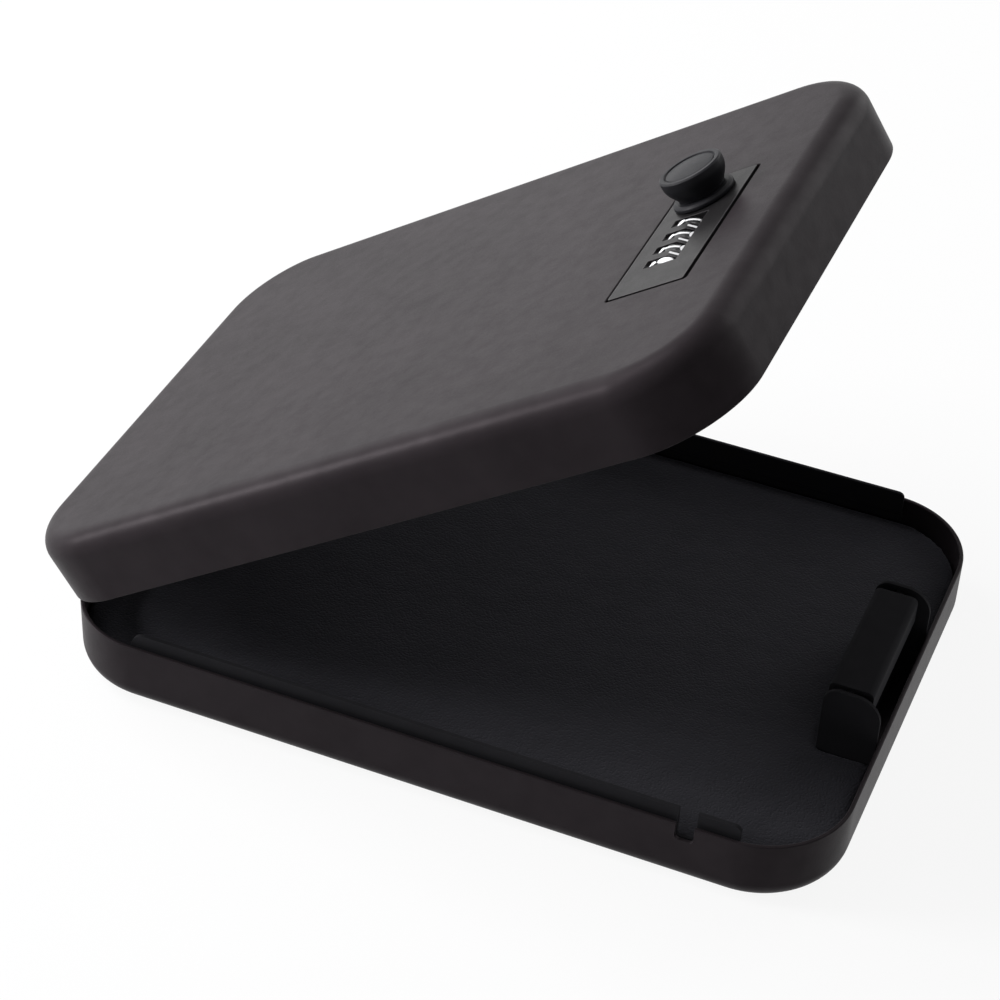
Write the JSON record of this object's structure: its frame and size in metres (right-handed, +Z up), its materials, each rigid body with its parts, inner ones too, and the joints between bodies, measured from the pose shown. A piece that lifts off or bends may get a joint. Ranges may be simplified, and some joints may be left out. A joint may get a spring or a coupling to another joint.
{
  "type": "portable car safe",
  "caption": "Low rounded steel lock box with a rear-hinged lid, number-wheel lock with turning knob and cam, strike bracket, alignment strips, foam liners and cable notch.",
  "frame": {"origin": "centre of the base's flat underside", "axes": "+X from the hinge to the lock edge, +Y to the far long side, away from the cable notch, +Z up"},
  "size_m": [0.2514, 0.168, 0.1735],
  "materials": {
    "powder_coat": "satin fine-texture black powder coat",
    "dark_steel": "satin black",
    "lock_black": "satin black on a casting",
    "zinc_steel": "zinc plated",
    "wheel_black": "semi-gloss black with white figures",
    "brass": "plain",
    "foam": "matte blue-black foam"
  },
  "bodies": {
    "base": {"base_pan": "powder_coat", "base_foam": "foam", "near_strip": "dark_steel", "far_strip": "dark_steel", "strike_bracket": "dark_steel", "strike_bar": "dark_steel", "hinge_base_leaf": "dark_steel", "hinge_pin": "zinc_steel", "base_rivet_1": "dark_steel", "base_rivet_2": "dark_steel", "base_rivet_3": "dark_steel", "base_rivet_4": "dark_steel"},
    "lid": {"lid_pan": "powder_coat", "lid_foam": "foam", "hinge_lid_leaf": "dark_steel", "lock_plate": "lock_black", "lock_case": "lock_black", "lock_cover": "zinc_steel", "dial_axle": "zinc_steel", "fence_bar": "zinc_steel", "detent_spring": "zinc_steel", "knob_bushing": "lock_black", "lid_rivet_1": "dark_steel", "lid_rivet_2": "dark_steel", "lid_rivet_3": "dark_steel", "lid_rivet_4": "dark_steel", "lock_stud_1": "zinc_steel", "lock_stud_2": "zinc_steel", "lock_nut_1": "zinc_steel", "lock_nut_2": "zinc_steel", "cover_screw_1": "zinc_steel", "cover_screw_2": "zinc_steel", "cover_screw_3": "zinc_steel", "cover_screw_4": "zinc_steel"},
    "knob": {"knob": "lock_black", "knob_disc": "lock_black", "spindle": "zinc_steel", "cam": "zinc_steel", "cam_washer": "zinc_steel", "cam_nut": "zinc_steel"},
    "dial_1": {"dial_1": "wheel_black", "dial_sleeve_1": "brass"},
    "dial_2": {"dial_2": "wheel_black", "dial_sleeve_2": "brass"},
    "dial_3": {"dial_3": "wheel_black", "dial_sleeve_3": "brass"},
    "dial_4": {"dial_4": "wheel_black", "dial_sleeve_4": "brass"},
    "change_lever": {"change_lever": "zinc_steel"}
  },
  "joints": [
    {"name": "lid_hinge", "type": "hinge", "parent": "base", "child": "lid", "pos_m": [-0.12265, 0, 0.02225], "axis": [0, -1, 0], "range_deg": [-33.84, 71.16]},
    {"name": "knob_turn", "type": "hinge", "parent": "lid", "child": "knob", "pos_m": [0.0376, 0.0178, 0.1572], "axis": [-0.5569, 0, 0.8306], "range_deg": [0, 90]},
    {"name": "dial_1_turn", "type": "hinge", "parent": "lid", "child": "dial_1", "pos_m": [0.04119, -0.0173, 0.14986], "axis": [0, 1, 0], "continuous": true},
    {"name": "dial_2_turn", "type": "hinge", "parent": "lid", "child": "dial_2", "pos_m": [0.04119, -0.0099, 0.14986], "axis": [0, 1, 0], "continuous": true},
    {"name": "dial_3_turn", "type": "hinge", "parent": "lid", "child": "dial_3", "pos_m": [0.04119, -0.0025, 0.14986], "axis": [0, 1, 0], "continuous": true},
    {"name": "dial_4_turn", "type": "hinge", "parent": "lid", "child": "dial_4", "pos_m": [0.04119, 0.0049, 0.14986], "axis": [0, 1, 0], "continuous": true},
    {"name": "change_lever_slide", "type": "slide", "parent": "lid", "child": "change_lever", "axis": [0, 1, 0], "range_m": [0, 0.003]}
  ]
}
